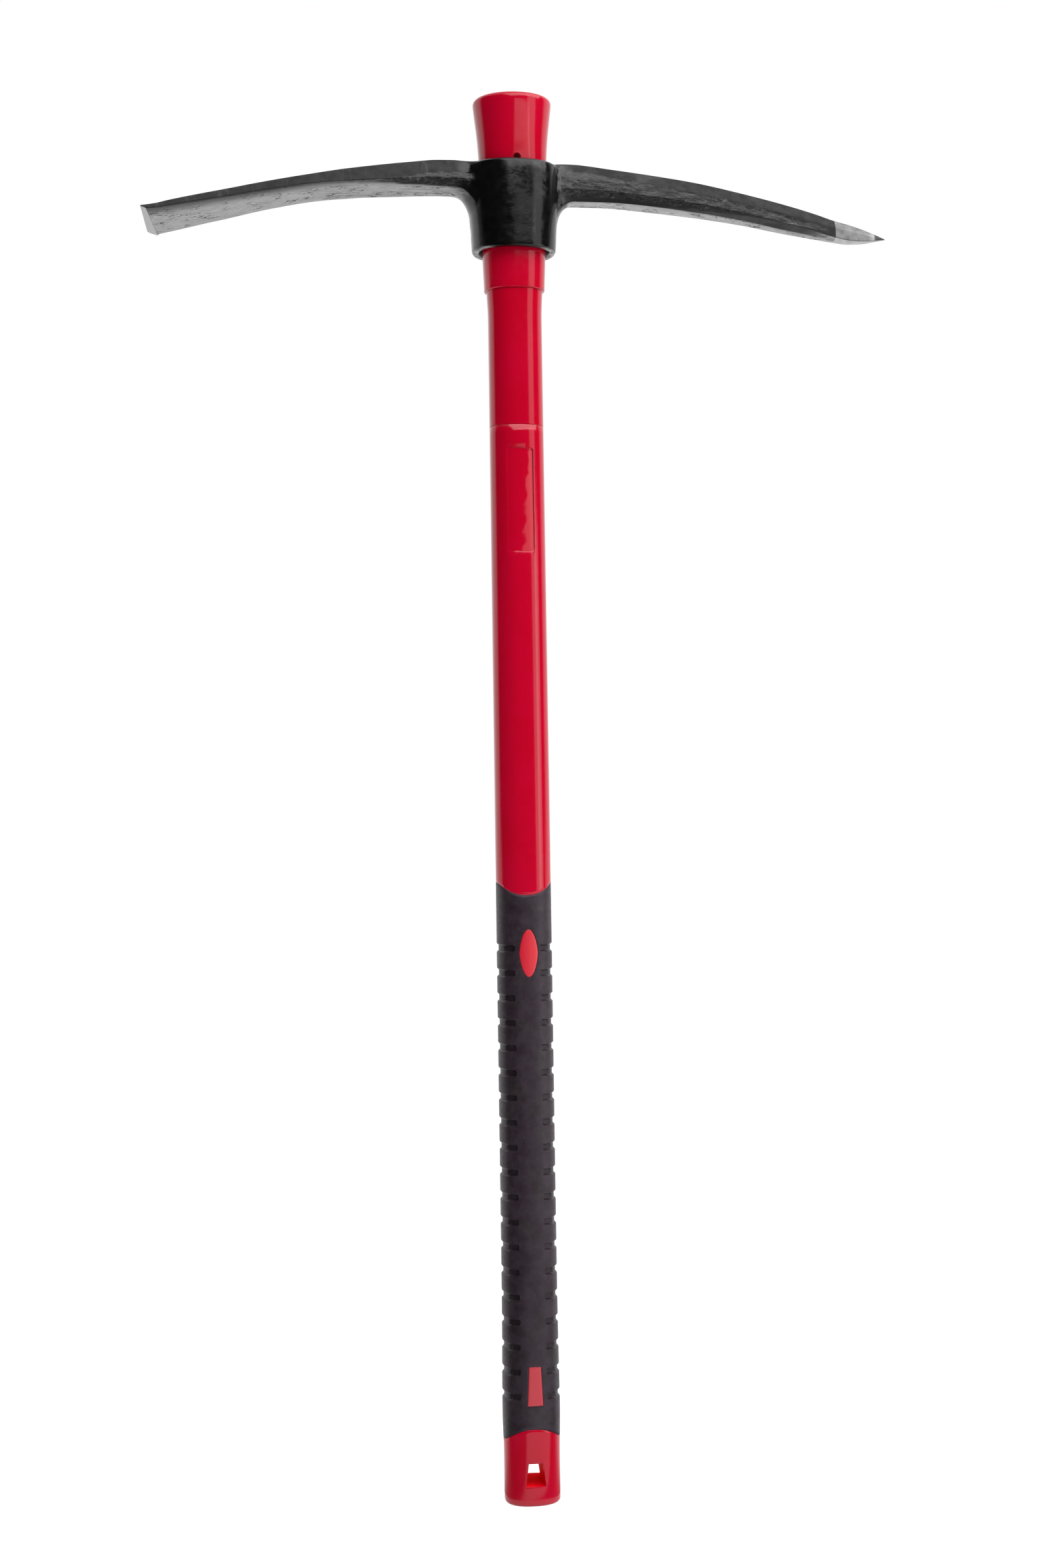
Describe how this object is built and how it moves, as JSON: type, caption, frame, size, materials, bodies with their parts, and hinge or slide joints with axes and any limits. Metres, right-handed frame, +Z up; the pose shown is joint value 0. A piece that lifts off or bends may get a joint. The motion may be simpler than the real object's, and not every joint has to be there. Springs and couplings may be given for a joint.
{
  "type": "pickaxe",
  "caption": "Pickaxe with a drop-on forged head, an adze blade opposite a pick point, wedged on the flared top of a moulded handle with a grooved rubber grip and a lanyard hole.",
  "frame": {"origin": "centre of the flat butt face at the handle's lower end", "axes": "+Z up along the handle to the head, +X towards the pick point, -X towards the adze blade, -Y out of the front of the handle, which has the shallow recess"},
  "size_m": [0.4827, 0.0667, 0.9],
  "materials": {
    "red_plastic": "smooth glossy moulding",
    "black_rubber": "matte overmoulded grip",
    "black_painted_steel": "satin black paint on a forging, with a ground bright point and blade bevel",
    "fibreglass": "resin-bonded glass fibre rod"
  },
  "bodies": {
    "handle": {"fibreglass_core": "fibreglass", "head_end_moulding": "red_plastic", "upper_jacket": "red_plastic", "lower_jacket": "red_plastic", "rubber_grip": "black_rubber"},
    "head": {"pick_head": "black_painted_steel"}
  },
  "joints": [
    {"name": "head_slide", "type": "slide", "parent": "handle", "child": "head", "axis": [0, 0, -1], "range_m": [0, 0.8]}
  ]
}
